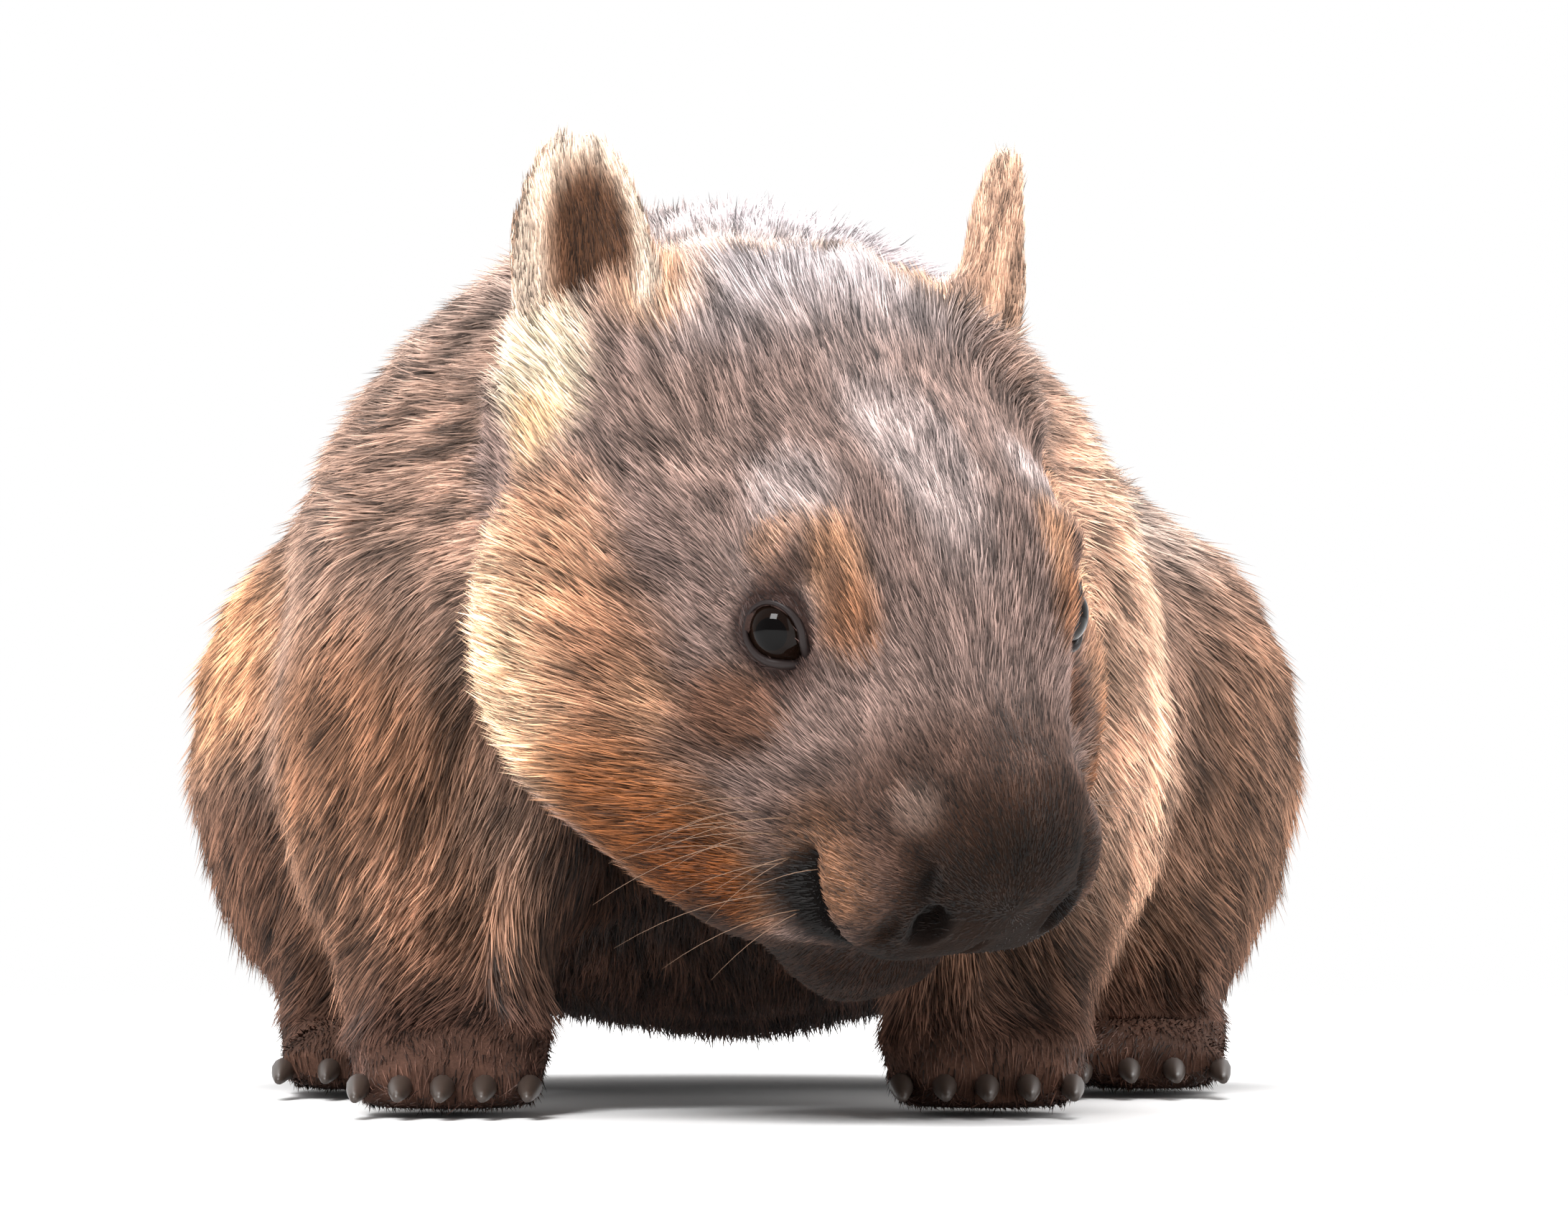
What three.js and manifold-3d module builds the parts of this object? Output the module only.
// A southern hairy-nosed wombat as a still, life-size museum model. It crouches low on all four feet, with its
// head lowered to feed and turned to its own left. Every shape is the outer surface of the coat.
// Millimetres, +Z up. The animal faces -Y and its left side is +X. The origin is on the floor, under the middle
// of the bounding box. The whole animal is a smooth field of rounded masses, meshed once for the body and once,
// finer, for the head, and then parted into its named pieces by thin cuts.
import * as THREE from "three";
import { mergeVertices } from "three/addons/utils/BufferGeometryUtils.js";
import Module from "manifold-3d";

const wasm = await Module();
wasm.setup();

// Driving dimensions of the whole animal
const BACK_HEIGHT = 292;
const BARREL_HALF_WIDTH = 140;
const HIP_HALF_WIDTH = 188;
const SHOULDER_HALF_WIDTH = 138;
const MIDLINE_X = -13; // the trunk's midline: the back bends a little to the animal's right
const GAP = 0.3; // between neighbouring pieces

// Head pose: where the point midway between the eyes is, and how the head is turned about it, in degrees
const HEAD_AT = new THREE.Vector3(46, -255, 144);
const HEAD_YAW = 32;
const HEAD_PITCH = 62;
const HEAD_TILT = -4;

// Head dimensions, in the head's own frame: its left is +X, its muzzle points to -Y, and +Z is dorsal
const NOSE_AHEAD = 92;
const EYE_HALF_SPACING = 45;
const EYE_AHEAD = 2;
const EYE_RADIUS = 10.5;
const EAR_HEIGHT = 62;
const EAR_HALF_WIDTH = 25;
const EAR_THICKNESS = 6.5;
const NECK_CUT_BEHIND = 118;

// Mesh steps of each region
const HEAD_STEP = 14.6;
const BODY_STEP = 36;
const FOOT_STEP = 14;
const HOLLOW_STEP = 21; // of the hollow in the neck and chest that the back of the head lies in
const HOLLOW_GROWTH = 6;

const UP = new THREE.Vector3(0, 0, 1);
const rad = THREE.MathUtils.degToRad;
const point = (x, y, z) => new THREE.Vector3(x, y, z);

// A mass's quaternion from three angles in degrees about X, Y and Z.
function turned(x, y, z) {
  return new THREE.Quaternion().setFromEuler(new THREE.Euler(rad(x), rad(y), rad(z)));
}

// The field of an ellipsoid: about the distance to its surface, negative inside.
function ellipsoid(center, radii, turn = turned(0, 0, 0)) {
  const back = turn.clone().invert();
  const q = new THREE.Vector3();
  return (p) => {
    q.copy(p).sub(center).applyQuaternion(back).divide(radii);
    const k0 = q.length();
    const k1 = q.divide(radii).length();
    return k1 < 1e-9 ? -Math.min(radii.x, radii.y, radii.z) : (k0 * (k0 - 1)) / k1;
  };
}

// The field of a limb: a round bar from a to b whose radius goes from ra to rb.
function limb(a, b, ra, rb) {
  const along = b.clone().sub(a);
  const length2 = along.lengthSq();
  const q = new THREE.Vector3();
  return (p) => {
    const t = THREE.MathUtils.clamp(q.copy(p).sub(a).dot(along) / length2, 0, 1);
    q.copy(a).addScaledVector(along, t);
    return q.distanceTo(p) - THREE.MathUtils.lerp(ra, rb, t);
  };
}

// Two fields joined with a smooth fillet about k wide, and one field hollowed by another in the same way.
function joined(k, ...fields) {
  return (p) =>
    fields
      .map((f) => f(p))
      .reduce((a, b) => {
        const h = Math.max(k - Math.abs(a - b), 0) / k;
        return Math.min(a, b) - (h * h * k) / 4;
      });
}
function hollowed(k, field, hollow) {
  return (p) => {
    const a = field(p);
    const b = -hollow(p);
    const h = Math.max(k - Math.abs(a - b), 0) / k;
    return Math.max(a, b) + (h * h * k) / 4;
  };
}

// The same mass on both sides of the midline plane x = middle.
function bothSides(middle, make) {
  return [1, -1].map((side) => make(side, middle));
}

// Head masses
const at = (side, ahead, up) => point(side, -ahead, up);
const headTurn = new THREE.Quaternion()
  .setFromAxisAngle(point(0, 1, 0), rad(HEAD_TILT))
  .multiply(new THREE.Quaternion().setFromAxisAngle(UP, rad(HEAD_YAW)))
  .multiply(new THREE.Quaternion().setFromAxisAngle(point(1, 0, 0), rad(HEAD_PITCH)));
const headMatrix = new THREE.Matrix4().compose(HEAD_AT, headTurn, point(1, 1, 1));

const skull = joined(
  30,
  ellipsoid(at(0, -66, -40), point(78, 80, 58)),
  ellipsoid(at(0, -14, -16), point(50, 58, 45)),
  ...bothSides(0, (side) => ellipsoid(at(side * 56, -24, -64), point(44, 58, 44))),
  ...bothSides(0, (side) => ellipsoid(at(side * 33, -16, 8), point(15, 26, 14))),
);
const muzzle = joined(
  18,
  limb(at(0, -10, -14), at(-1, 54, -14), 45, 37),
  ellipsoid(at(-2, NOSE_AHEAD - 27, -12), point(31, 27, 33)),
  ...bothSides(0, (side) => ellipsoid(at(side * 22, NOSE_AHEAD - 44, -32), point(25, 40, 28))),
  ...bothSides(0, (side) => ellipsoid(at(side * 40, 23, -56), point(34, 45, 34))),
);
const mandible = joined(
  18,
  limb(at(0, -34, -86), at(0, 44, -80), 50, 28),
  ellipsoid(at(0, 60, -74), point(24, 22, 18)),
);
const mouthSlot = ellipsoid(at(0, 62, -60), point(40, 36, 6), turned(10, 0, 0));
const napeField = ellipsoid(at(0, -120, -52), point(74, 60, 62));
const closedHead = joined(14, joined(22, skull, muzzle, napeField), mandible);
const headField = hollowed(5, closedHead, mouthSlot);

// Trunk and limb masses, in the body's frame
const trunkField = joined(
  34,
  ellipsoid(point(MIDLINE_X + 2, -62, 164), point(120, 118, 108)),
  ellipsoid(point(MIDLINE_X, 70, 150), point(BARREL_HALF_WIDTH, 190, BACK_HEIGHT - 162)),
  ellipsoid(point(MIDLINE_X + 4, 215, 142), point(142, 142, BACK_HEIGHT - 160)),
);
const shoulderMasses = bothSides(MIDLINE_X + 4, (side, middle) =>
  ellipsoid(point(middle + side * (SHOULDER_HALF_WIDTH - 46), -82, 124), point(42, 72, 84)),
);
const neckMass = limb(point(MIDLINE_X, -90, 172), point(12, -196, 178), 92, 80);
const thighMass = (side) =>
  ellipsoid(
    point(side * (HIP_HALF_WIDTH - 76) - 4, 176, 108),
    point(76, 108, 92),
    turned(0, 0, side * -6),
  );

// One fore limb from its elbow to its paw, and one hind limb's paw
const FORE_LEGS = { right: { side: -1, x: -90, elbow: -94, toes: -186 }, left: { side: 1, x: 68, elbow: 78, toes: -178 } };
const HIND_LEGS = { right: { side: -1, x: -126, toes: 8 }, left: { side: 1, x: 124, toes: 16 } };
const FORE_PAW = { width: 62, length: 84, height: 30 };
const HIND_PAW = { width: 56, length: 118, height: 30 };
const SOLE_SINK = 4; // how far a paw's round underside goes below the floor before it is cut flat

function toePlaces({ x, toes: front }, paw, count) {
  return Array.from({ length: count }, (_, i) => {
    const across = (i / (count - 1) - 0.5) * (paw.width - 16);
    const back = across ** 2 / 90;
    return {
      root: point(x + across * 0.8, front + 30 + back, 13),
      tip: point(x + across, front + 9 + back, 9),
      turn: across * 0.5,
    };
  });
}
const toes = (leg, paw, count) => toePlaces(leg, paw, count).map(({ root, tip }) => limb(root, tip, 10, 8.5));
const pawMass = ({ x, toes: tip }, paw) =>
  ellipsoid(
    point(x, tip + paw.length / 2 + 6, paw.height / 2 - SOLE_SINK),
    point(paw.width / 2, paw.length / 2, paw.height / 2 + 2),
  );

const FORE_TOES = 5;
const HIND_TOES = 4;
const forePaw = (leg) => joined(6, pawMass(leg, FORE_PAW), ...toes(leg, FORE_PAW, FORE_TOES));
const hindPaw = (leg) => joined(6, pawMass(leg, HIND_PAW), ...toes(leg, HIND_PAW, HIND_TOES));
const CLAW_LENGTH = 24;
const CLAW_RADIUS = 4.2;
const TAIL_ROOT = point(-6, 336, 118);
const TAIL_TIP = point(-6, 366, 96);
const foreArm = (leg) => limb(point(leg.elbow + leg.side * 4, -84, 96), point(leg.x, -128, 34), 44, 34);
const shank = (leg) => limb(point(leg.x - leg.side * 6, 150, 60), point(leg.x, 96, 24), 46, 28);

const bodyField = joined(
  26,
  joined(40, trunkField, neckMass),
  ...shoulderMasses,
  thighMass(1),
  thighMass(-1),
  ...Object.values(FORE_LEGS).map(foreArm),
  ...Object.values(HIND_LEGS).map(shank),
);

// The corners of a grid cell, its twelve edges as pairs of corners, and its six faces as rings of four corners
const CORNERS = Array.from({ length: 8 }, (_, n) => [n & 1, (n >> 1) & 1, (n >> 2) & 1]);
const EDGES = CORNERS.flatMap((a, n) =>
  [0, 1, 2].filter((axis) => !a[axis]).map((axis) => ({ from: n, to: n | (1 << axis), axis })),
);
const FACES = [0, 1, 2].flatMap((axis) => {
  const b = 1 << (axis + 1) % 3;
  const c = 1 << (axis + 2) % 3;
  return [0, 1 << axis].map((base) => [base, base | b, base | b | c, base | c]);
});
const edgeBetween = (m, n) => EDGES.findIndex((e) => e.from === Math.min(m, n) && e.to === Math.max(m, n));

// The crossed edges of a cell grouped into separate sheets of surface. Where a face has two inside corners across
// a diagonal, the sheets go round each of them.
function sheetsOf(inside) {
  const sheet = EDGES.map((e, i) => (inside[e.from] === inside[e.to] ? -1 : i));
  const link = (m, n) => {
    const [keep, drop] = [sheet[m], sheet[n]];
    sheet.forEach((s, i) => {
      if (s === drop) sheet[i] = keep;
    });
  };
  for (const ring of FACES) {
    const crossed = ring.map((n, i) => edgeBetween(n, ring[(i + 1) % 4])).filter((e) => sheet[e] >= 0);
    if (crossed.length === 2) link(...crossed);
    if (crossed.length === 4)
      ring.forEach((n, i) => {
        if (inside[n]) link(edgeBetween(ring[(i + 3) % 4], n), edgeBetween(n, ring[(i + 1) % 4]));
      });
  }
  return sheet;
}

// A closed mesh of a field's surface, capped where it leaves the box: one vertex for each sheet of surface in
// each grid cell, settled on the surface, and one quad for each grid edge that crosses it.
function surfaceOf(field, low, high, step) {
  const count = ["x", "y", "z"].map((axis) => Math.ceil((high[axis] - low[axis]) / step) + 1);
  const strides = [1, count[0], count[0] * count[1]];
  const corner = (i, j, k) => point(low.x + i * step, low.y + j * step, low.z + k * step);
  const indexOf = ([i, j, k]) => i * strides[0] + j * strides[1] + k * strides[2];
  const onBorder = (cell) => cell.some((n, axis) => n < 2 || n > count[axis] - 3);
  const values = [];
  for (let k = 0; k < count[2]; k++)
    for (let j = 0; j < count[1]; j++)
      for (let i = 0; i < count[0]; i++)
        values.push(onBorder([i, j, k]) ? step : field(corner(i, j, k)));
  const vertices = [];
  const vertexAt = new Map(); // a cell's index and an edge's number to the vertex of the sheet that holds the edge
  for (let k = 0; k + 1 < count[2]; k++)
    for (let j = 0; j + 1 < count[1]; j++)
      for (let i = 0; i + 1 < count[0]; i++) {
        const v = CORNERS.map((o) => values[indexOf([i + o[0], j + o[1], k + o[2]])]);
        const sheet = sheetsOf(v.map((value) => value < 0));
        for (const id of new Set(sheet.filter((s) => s >= 0))) {
          const middle = new THREE.Vector3();
          const members = EDGES.filter((_, n) => sheet[n] === id);
          for (const { from, to } of members) {
            const start = corner(...CORNERS[from].map((o, n) => o + [i, j, k][n]));
            const end = corner(...CORNERS[to].map((o, n) => o + [i, j, k][n]));
            middle.add(start.lerp(end, v[from] / (v[from] - v[to])));
          }
          middle.divideScalar(members.length);
          sheet.forEach((s, n) => {
            if (s === id) vertexAt.set(indexOf([i, j, k]) * EDGES.length + n, vertices.length);
          });
          vertices.push(settled(middle, field, step));
        }
      }
  const triangles = [];
  for (let k = 1; k + 1 < count[2]; k++)
    for (let j = 1; j + 1 < count[1]; j++)
      for (let i = 1; i + 1 < count[0]; i++)
        for (let axis = 0; axis < 3; axis++) {
          const here = indexOf([i, j, k]);
          const inside = values[here] < 0;
          if (inside === values[here + strides[axis]] < 0) continue;
          const [b, c] = [(axis + 1) % 3, (axis + 2) % 3];
          const quad = [[1, 1], [0, 1], [0, 0], [1, 0]].map(([backB, backC]) => {
            const from = (backB << b) | (backC << c);
            const edge = edgeBetween(from, from | (1 << axis));
            const cell = here - backB * strides[b] - backC * strides[c];
            return vertexAt.get(cell * EDGES.length + edge);
          });
          if (!inside) quad.reverse();
          const [p, q, r, s] = quad;
          if (vertices[p].distanceTo(vertices[r]) < vertices[q].distanceTo(vertices[s]))
            triangles.push(p, q, r, p, r, s);
          else triangles.push(q, r, s, q, s, p);
        }
  const positions = new Float32Array(vertices.flatMap((v) => v.toArray()));
  return new THREE.BufferGeometry()
    .setAttribute("position", new THREE.BufferAttribute(positions, 3))
    .setIndex(triangles);
}

// A vertex moved along the field's slope to the surface, by no more than its cell allows.
function settled(start, field, step) {
  const p = start.clone();
  const probe = 0.5;
  for (let round = 0; round < 4; round++) {
    const value = field(p);
    const slope = point(
      field(p.clone().setX(p.x + probe)) - value,
      field(p.clone().setY(p.y + probe)) - value,
      field(p.clone().setZ(p.z + probe)) - value,
    ).divideScalar(probe);
    const steep = slope.lengthSq();
    if (steep < 1e-6) break;
    p.addScaledVector(slope, THREE.MathUtils.clamp(-value / steep, -step / 4, step / 4));
    if (p.distanceTo(start) > step * 0.45) {
      p.sub(start).setLength(step * 0.45).add(start);
      break;
    }
  }
  return p;
}

// Between three.js geometry and solids that can be joined and cut
function solidOf(geometry, matrix = new THREE.Matrix4()) {
  const bare = geometry.clone().applyMatrix4(matrix);
  bare.deleteAttribute("normal");
  bare.deleteAttribute("uv");
  const merged = mergeVertices(bare, 1e-4);
  return new wasm.Manifold(
    new wasm.Mesh({
      numProp: 3,
      vertProperties: new Float32Array(merged.attributes.position.array),
      triVerts: new Uint32Array(merged.index.array),
    }),
  );
}
function geometryOf(solid) {
  const mesh = solid.getMesh();
  const made = new THREE.BufferGeometry()
    .setAttribute("position", new THREE.BufferAttribute(new Float32Array(mesh.vertProperties), 3))
    .setIndex(new THREE.BufferAttribute(new Uint32Array(mesh.triVerts), 1));
  made.computeVertexNormals();
  return made;
}
// The same mesh with every vertex moved outwards along its normal.
function swollen(geometry, by) {
  const grown = geometry.clone();
  grown.computeVertexNormals();
  const { position, normal } = grown.attributes;
  for (let i = 0; i < position.count; i++) {
    const moved = new THREE.Vector3().fromBufferAttribute(normal, i).multiplyScalar(by);
    moved.add(new THREE.Vector3().fromBufferAttribute(position, i));
    position.setXYZ(i, ...moved.toArray());
  }
  return grown;
}
// Only the largest body of a solid, without the slivers that a cut can leave.
function mainBody(solid) {
  return solid.decompose().reduce((a, b) => (b.volume() > a.volume() ? b : a));
}
function boxBetween(low, high, matrix) {
  const size = high.clone().sub(low);
  const box = new THREE.BoxGeometry(size.x, size.y, size.z);
  box.translate((low.x + high.x) / 2, (low.y + high.y) / 2, (low.z + high.z) / 2);
  return solidOf(box, matrix);
}
function ballRegion(center, radii, turn = turned(0, 0, 0), grow = 0) {
  const size = radii.clone().addScalar(grow);
  return solidOf(new THREE.SphereGeometry(1, 12, 8), new THREE.Matrix4().compose(center, turn, size));
}
const FAR = 900;
const underFloor = boxBetween(point(-FAR, -FAR, -FAR), point(FAR, FAR, 0));

// Materials, by the colours of the coat where each piece lies
const coat = (name, color, roughness = 0.85) => {
  const made = new THREE.MeshStandardMaterial({ color, roughness, metalness: 0 });
  made.name = name;
  return made;
};
const MATERIALS = {
  faceCoat: coat("face_coat", 0x7d6a5e),
  bodyCoat: coat("body_coat", 0x6e5646),
  legCoat: coat("leg_coat", 0x5d4536),
  pawCoat: coat("paw_coat", 0x3f2f27),
  earCoat: coat("ear_coat", 0xa98466),
  eye: coat("eye", 0x150c08, 0.08),
  claw: coat("claw", 0x2b2421, 0.4),
};

const wombat = new THREE.Group();
const headGroup = new THREE.Group();
headGroup.position.copy(HEAD_AT);
headGroup.quaternion.copy(headTurn);
wombat.add(headGroup);

function addPiece(group, name, geometry, material) {
  const mesh = new THREE.Mesh(geometry, material);
  mesh.name = name;
  group.add(mesh);
  return mesh;
}

// Head: meshed fine in its own frame, cut flat at the neck, with a socket round each eye
const HEAD_LOW = point(-140, -130, -170);
const HEAD_HIGH = point(140, NECK_CUT_BEHIND + 100, 80);
const behindNeckCut = (shift) => boxBetween(point(-FAR, NECK_CUT_BEHIND + shift, -FAR), point(FAR, FAR, FAR));
const eyeCenter = (side) => at(side * EYE_HALF_SPACING, EYE_AHEAD, 0);
const eyeBall = (side, grow = 0) =>
  solidOf(
    new THREE.SphereGeometry(EYE_RADIUS + grow, 12, 8),
    new THREE.Matrix4().setPosition(eyeCenter(side)),
  );
// The opening between the lids: a short cone that widens outwards from inside the eyeball.
function lidOpening(side) {
  const cone = new THREE.CylinderGeometry(12.5, 7.5, 16, 16);
  const out = point(side * 0.9, -0.3, 0.32).normalize();
  const turn = new THREE.Quaternion().setFromUnitVectors(point(0, 1, 0), out);
  const middle = eyeCenter(side).addScaledVector(out, 12);
  return solidOf(cone, new THREE.Matrix4().compose(middle, turn, point(1, 1, 0.85)));
}
const headShell = surfaceOf(headField, HEAD_LOW, HEAD_HIGH, HEAD_STEP);
const grownHead = mainBody(solidOf(swollen(headShell, GAP)).subtract(behindNeckCut(GAP / 2)));
let head = mainBody(solidOf(headShell).subtract(behindNeckCut(-GAP / 2)));
for (const side of [1, -1]) head = head.subtract(eyeBall(side, GAP)).subtract(lidOpening(side));

// The lower jaw is parted from the head along the mouth and up a slanted line behind its corner.
const JAW_CORNER = at(0, 16, -54);
const JAW_HALF_WIDTH = 46;
function jawRegion(grow) {
  const region = boxBetween(point(-JAW_HALF_WIDTH - grow, -160, -160), point(JAW_HALF_WIDTH, 0, 0).addScalar(grow));
  const turn = new THREE.Matrix4().makeRotationX(rad(14)).setPosition(JAW_CORNER);
  return region.transform(turn.elements);
}
const jaw = mainBody(head.intersect(jawRegion(-GAP / 2)));
head = mainBody(head.subtract(jawRegion(GAP / 2)));
addPiece(headGroup, "head", geometryOf(head), MATERIALS.faceCoat);
addPiece(headGroup, "lower_jaw", geometryOf(jaw), MATERIALS.faceCoat);
for (const [name, side] of [["left", 1], ["right", -1]])
  addPiece(headGroup, "eye_" + name, geometryOf(eyeBall(side)), MATERIALS.eye);

// Body: meshed coarser in one piece
const BODY_LOW = point(-240, -320, -60);
const BODY_HIGH = point(240, 420, 340);
const hollowShell = surfaceOf(closedHead, HEAD_LOW, HEAD_HIGH, HOLLOW_STEP);
const headHollow = solidOf(swollen(hollowShell, HOLLOW_GROWTH)).subtract(behindNeckCut(GAP / 2));
const bodyShell = surfaceOf(bodyField, BODY_LOW, BODY_HIGH, BODY_STEP);
const grownBody = solidOf(swollen(bodyShell, GAP), headMatrix.clone().invert());
const wholeBody = solidOf(bodyShell).subtract(underFloor).subtract(headHollow.transform(headMatrix.elements));

// Ears: a cupped leaf, made as one grid for the front and one for the back, joined along the rim
function earGeometry() {
  const COLUMNS = 6;
  const ROWS = 7;
  const CUP = 15;
  const vertices = [];
  const surfacePoint = (u, v, back) => {
    const width = EAR_HALF_WIDTH * Math.sqrt(Math.sin(Math.PI * (0.3 + 0.67 * v)));
    const rim = Math.sqrt(Math.max(0, 1 - u * u)) * Math.sqrt(Math.max(0, 1 - v ** 6));
    const half = (EAR_THICKNESS / 2) * Math.max(rim, 0.35);
    const depth = CUP * (1 - u * u) * (1 - 0.6 * v);
    const lean = -8 * v * v;
    return point(u * width, depth + lean + (back ? half : -half), v * EAR_HEIGHT);
  };
  const us = Array.from({ length: COLUMNS + 1 }, (_, i) => Math.sin(((i / COLUMNS) * 2 - 1) * (Math.PI / 2)));
  const vs = Array.from({ length: ROWS + 1 }, (_, i) => 1 - (1 - i / ROWS) ** 1.4);
  const quads = [];
  const grid = (back) =>
    vs.map((v) => us.map((u) => vertices.push(surfacePoint(u, v, back)) - 1));
  const front = grid(false);
  const rear = grid(true);
  const skin = (a, b, c, d) => quads.push(a, b, c, a, c, d);
  for (let r = 0; r < ROWS; r++)
    for (let c = 0; c < COLUMNS; c++) {
      skin(front[r][c], front[r][c + 1], front[r + 1][c + 1], front[r + 1][c]);
      skin(rear[r][c + 1], rear[r][c], rear[r + 1][c], rear[r + 1][c + 1]);
    }
  for (let r = 0; r < ROWS; r++) {
    skin(rear[r][0], front[r][0], front[r + 1][0], rear[r + 1][0]);
    skin(front[r][COLUMNS], rear[r][COLUMNS], rear[r + 1][COLUMNS], front[r + 1][COLUMNS]);
  }
  for (let c = 0; c < COLUMNS; c++) {
    skin(front[ROWS][c], front[ROWS][c + 1], rear[ROWS][c + 1], rear[ROWS][c]);
    skin(rear[0][c], rear[0][c + 1], front[0][c + 1], front[0][c]);
  }
  const made = new THREE.BufferGeometry()
    .setAttribute("position", new THREE.BufferAttribute(new Float32Array(vertices.flatMap((v) => v.toArray())), 3))
    .setIndex(quads);
  return made;
}

// An ear stands nearly upright whatever the head's pitch, and its cup faces sideways and a little forwards.
const EARS = {
  left: { side: 1, out: 82, behind: 100, up: -22, facing: 76, splay: 4 },
  right: { side: -1, out: 66, behind: 104, up: -16, facing: 58, splay: -10 },
};
const EAR_LEAN_BACK = 8;
const unpitched = new THREE.Quaternion().setFromAxisAngle(point(1, 0, 0), -rad(HEAD_PITCH));
for (const [name, { side, out, behind, up, facing, splay }] of Object.entries(EARS)) {
  const upright = new THREE.Quaternion()
    .setFromEuler(new THREE.Euler(-rad(EAR_LEAN_BACK), side * rad(splay), 0))
    .multiply(new THREE.Quaternion().setFromAxisAngle(UP, side * rad(facing)));
  const turn = unpitched.clone().multiply(upright);
  const place = new THREE.Matrix4().compose(at(side * out, -behind, up), turn, point(1, 1, 1));
  const ear = mainBody(solidOf(earGeometry(), place).subtract(grownHead).subtract(grownBody));
  addPiece(headGroup, "ear_" + name, geometryOf(ear), MATERIALS.earCoat);
}

// The body is parted by rounded regions round the neck and each limb.
const neckRegion = (grow) => ballRegion(point(2, -166, 206), point(112, 54, 96), turned(0, 0, 0), grow);

const limbPieces = [];
let trunk = wholeBody;
function partLimb(name, leg, toeCount, pawSize, upperRegion, lowRegion, pawField) {
  const pawLow = point(leg.x - 56, leg.toes - 10, -10);
  const pawHigh = point(leg.x + 56, leg.toes + pawSize.length + 34, 0);
  const region = (grow) => upperRegion(grow).add(lowRegion(grow));
  const ankle = (grow) => boxBetween(pawLow, point(pawHigh.x, pawHigh.y, ANKLE_HEIGHT + grow));
  const limbSolid = mainBody(wholeBody.intersect(region(-GAP / 2)).subtract(ankle(GAP)));
  trunk = trunk.subtract(region(GAP / 2)).subtract(ankle(GAP));
  const paw = solidOf(surfaceOf(pawField, pawLow.clone().addScalar(-20), pawHigh.clone().setZ(80), FOOT_STEP))
    .subtract(underFloor)
    .intersect(ankle(0));
  limbPieces.push([name, leg, limbSolid, mainBody(paw), toeCount, pawSize]);
}
const ANKLE_HEIGHT = 27;
for (const [name, leg] of Object.entries(FORE_LEGS))
  partLimb(
    "fore_" + name,
    leg,
    FORE_TOES,
    FORE_PAW,
    (grow) => ballRegion(point(leg.side * 106, -100, 98), point(66, 92, 80), turned(0, 0, 0), grow),
    (grow) => boxBetween(point(leg.x - 48 - grow, -230, -20), point(leg.x + 48 + grow, -70 + grow, 60 + grow)),
    joined(14, foreArm(leg), forePaw(leg)),
  );
for (const [name, leg] of Object.entries(HIND_LEGS))
  partLimb(
    "hind_" + name,
    leg,
    HIND_TOES,
    HIND_PAW,
    (grow) => ballRegion(point(leg.side * 128, 176, 100), point(84, 118, 94), turned(0, 0, 0), grow),
    (grow) => boxBetween(point(leg.x - 46 - grow, 10, -20), point(leg.x + 46 + grow, 200 + grow, 50 + grow)),
    joined(14, shank(leg), hindPaw(leg)),
  );

const neck = mainBody(trunk.intersect(neckRegion(-GAP / 2)));
trunk = trunk.subtract(neckRegion(GAP / 2));

// Tail: a short stub under the rump
const tailField = limb(TAIL_ROOT, TAIL_TIP, 17, 9);
const tailShell = surfaceOf(tailField, TAIL_ROOT.clone().subScalar(80), TAIL_ROOT.clone().addScalar(90), FOOT_STEP);
const tail = mainBody(solidOf(tailShell).subtract(grownBody.transform(headMatrix.elements)));
trunk = mainBody(trunk);
addPiece(wombat, "trunk", geometryOf(trunk), MATERIALS.bodyCoat);
addPiece(wombat, "neck", geometryOf(neck), MATERIALS.bodyCoat);
addPiece(wombat, "tail", geometryOf(tail), MATERIALS.bodyCoat);

// A claw: a cone bent downwards, its root in the toe
function clawGeometry(length, radius) {
  const profile = [[0, 0], [1, 0], [0.8, 0.6], [0, 1]];
  const cone = new THREE.LatheGeometry(
    profile.map(([r, along]) => new THREE.Vector2(r * radius, along * length)),
    6,
  );
  const { position } = cone.attributes;
  for (let i = 0; i < position.count; i++) {
    const along = position.getY(i) / length;
    const bent = point(-position.getX(i) * 0.75, -position.getY(i), position.getZ(i) - along * along * length * 0.2);
    position.setXYZ(i, ...bent.toArray());
  }
  return cone;
}
for (const [name, leg, upper, paw, clawCount, pawSize] of limbPieces) {
  addPiece(wombat, "leg_" + name, geometryOf(upper), MATERIALS.legCoat);
  addPiece(wombat, "foot_" + name, geometryOf(paw), MATERIALS.pawCoat);
  const grownPaw = solidOf(swollen(geometryOf(paw), GAP));
  toePlaces(leg, pawSize, clawCount).forEach(({ tip, turn }, i) => {
    const place = new THREE.Matrix4().compose(tip, turned(-8, 0, turn), point(1, 1, 1));
    const claw = mainBody(solidOf(clawGeometry(CLAW_LENGTH, CLAW_RADIUS), place).subtract(grownPaw));
    addPiece(wombat, "claw_" + name + "_" + (i + 1), geometryOf(claw), MATERIALS.claw);
  });
}

// The origin goes to the floor under the middle of the bounding box.
wombat.updateMatrixWorld(true);
const bounds = new THREE.Box3().setFromObject(wombat, true);
const middle = bounds.getCenter(new THREE.Vector3());
wombat.position.set(-middle.x, -middle.y, -bounds.min.z);

export default wombat;
